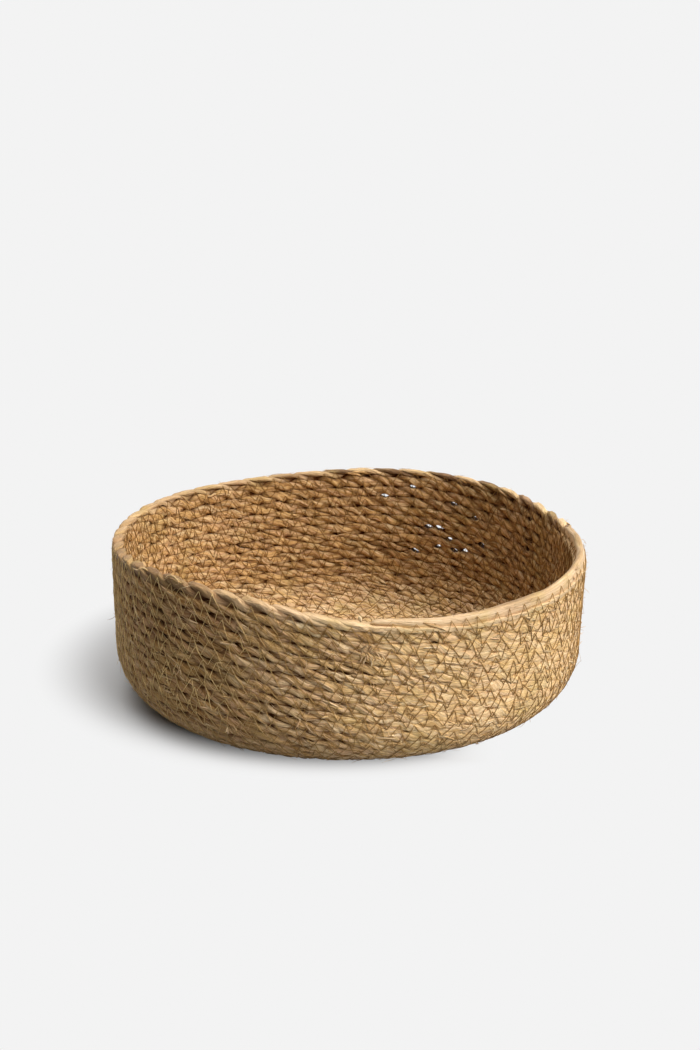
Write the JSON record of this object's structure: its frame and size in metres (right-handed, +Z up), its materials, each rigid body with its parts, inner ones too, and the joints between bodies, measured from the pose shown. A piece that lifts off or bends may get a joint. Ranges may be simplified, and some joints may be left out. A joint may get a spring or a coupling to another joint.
{
  "type": "round basket",
  "caption": "Low round basket coiled from one twisted seagrass rope and sewn with zigzag thread, with a soft round heel and an open top.",
  "frame": {"origin": "middle of the basket's outline, on the surface that its floor rests on", "axes": "+Z up out of the open top, -Y towards the side on which the rope's end lies on the rim"},
  "size_m": [0.2914, 0.2976, 0.1068],
  "materials": {
    "seagrass": "dry matte leaf, tan with brown, green and grey streaks",
    "rim_seagrass": "dry leaf with a low sheen, paler straw",
    "sewing_thread": "twisted thread, olive brown"
  },
  "bodies": {
    "root": {"base_coil": "seagrass", "heel_coil": "seagrass", "wall_coil": "seagrass", "rim_course": "rim_seagrass", "rim_tail": "rim_seagrass"}
  },
  "joints": []
}
